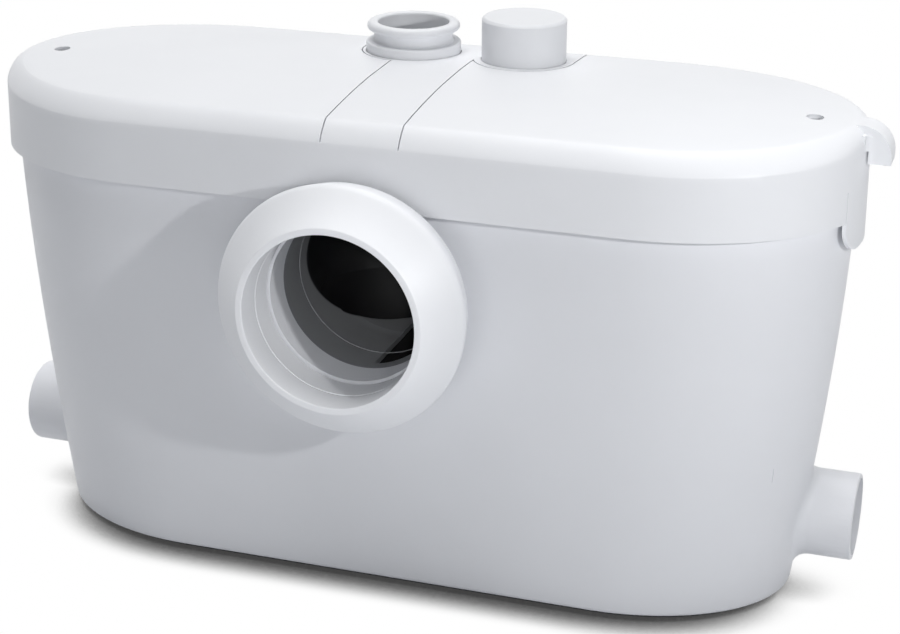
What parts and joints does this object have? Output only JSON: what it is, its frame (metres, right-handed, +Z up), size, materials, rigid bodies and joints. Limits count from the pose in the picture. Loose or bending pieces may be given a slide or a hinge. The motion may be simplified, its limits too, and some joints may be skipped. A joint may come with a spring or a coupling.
{
  "type": "macerator toilet pump",
  "caption": "White tank with a rounded lid, a flanged front sleeve for a toilet outlet, side inlets, a top outlet collar and a vent cap, with grinder and pump inside.",
  "frame": {"origin": "on the floor under the middle of the tank, at the underside of its mat", "axes": "+X along the tank to the right as seen from the toilet, +Y to the wall behind, +Z up"},
  "size_m": [0.5223, 0.2236, 0.3085],
  "materials": {
    "mat_rubber": "matt moulded rubber",
    "tank_white": "satin moulded plastic",
    "seal_rubber": "matt rubber",
    "lid_white": "satin moulded plastic",
    "cover_white": "satin moulded plastic",
    "screw_steel": "zinc plated",
    "sleeve_white": "soft white elastomer",
    "grey_plastic": "dark grey moulded plastic",
    "carbon": "porous black carbon",
    "dark_plastic": "moulded plastic",
    "cream_plastic": "moulded plastic",
    "blade_steel": "ground stainless steel",
    "motor_grey": "grey paint",
    "core_iron": "stacked sheet steel",
    "winding_copper": "enamelled copper wire",
    "pipe_plastic": "pale grey moulded plastic",
    "can_aluminium": "drawn aluminium can"
  },
  "bodies": {
    "tank": {"base_mat": "mat_rubber", "tank": "tank_white", "lid_gasket": "seal_rubber", "lid": "lid_white", "cable_gland": "seal_rubber", "inlet_sleeve": "sleeve_white", "inlet_duct": "grey_plastic", "outlet_collar": "lid_white", "carbon_filter": "carbon", "pump_housing": "dark_plastic", "pump_cover": "dark_plastic", "basket": "dark_plastic", "seal_plate": "dark_plastic", "shaft_seal": "seal_rubber", "motor_housing": "motor_grey", "lower_bearing": "blade_steel", "upper_bearing": "blade_steel", "stator_core": "core_iron", "stator_windings": "winding_copper", "motor_end_cap": "motor_grey", "motor_screws": "screw_steel", "delivery_pipe": "pipe_plastic", "valve_body": "pipe_plastic", "valve_pin": "blade_steel", "riser": "pipe_plastic", "left_flap_pin": "blade_steel", "right_flap_pin": "blade_steel", "electrics_tray": "dark_plastic", "tray_screws": "screw_steel", "air_tube": "pipe_plastic", "switch_body": "dark_plastic", "diaphragm": "seal_rubber", "switch_cap": "dark_plastic", "microswitch": "dark_plastic", "capacitor": "can_aluminium", "terminal_block": "cream_plastic"},
    "rotor": {"motor_shaft": "blade_steel", "rotor_core": "core_iron", "impeller": "cream_plastic", "macerator_blade": "blade_steel"},
    "left_cover": {"left_cover": "cover_white", "left_cover_screw": "screw_steel"},
    "right_cover": {"right_cover": "cover_white", "right_cover_screw": "screw_steel"},
    "vent_cap": {"vent_cap": "lid_white"},
    "left_flap": {"left_flap": "seal_rubber"},
    "right_flap": {"right_flap": "seal_rubber"},
    "check_flap": {"check_flap": "seal_rubber"},
    "switch_plunger": {"switch_plunger": "cream_plastic"}
  },
  "joints": [
    {"name": "rotor_spin", "type": "hinge", "parent": "tank", "child": "rotor", "pos_m": [-0.11, 0, 0.1], "axis": [0, 0, 1], "continuous": true},
    {"name": "left_cover_lift", "type": "slide", "parent": "tank", "child": "left_cover", "axis": [0, 0, 1], "range_m": [0, 0.06]},
    {"name": "right_cover_lift", "type": "slide", "parent": "tank", "child": "right_cover", "axis": [0, 0, 1], "range_m": [0, 0.06]},
    {"name": "vent_cap_lift", "type": "slide", "parent": "tank", "child": "vent_cap", "axis": [0, 0, 1], "range_m": [0, 0.03]},
    {"name": "left_flap_swing", "type": "hinge", "parent": "tank", "child": "left_flap", "pos_m": [-0.2035, 0.0138, 0.0708], "axis": [0, -1, 0], "range_deg": [0, 40]},
    {"name": "right_flap_swing", "type": "hinge", "parent": "tank", "child": "right_flap", "pos_m": [0.2035, 0.0138, 0.0708], "axis": [0, 1, 0], "range_deg": [0, 50]},
    {"name": "check_flap_swing", "type": "hinge", "parent": "tank", "child": "check_flap", "pos_m": [-0.0405, 0.05097, 0.125], "axis": [0, -1, 0], "range_deg": [0, 55]},
    {"name": "plunger_push", "type": "slide", "parent": "tank", "child": "switch_plunger", "axis": [0, 0, 1], "range_m": [0, 0.002], "stiffness_N_per_m": 200}
  ]
}
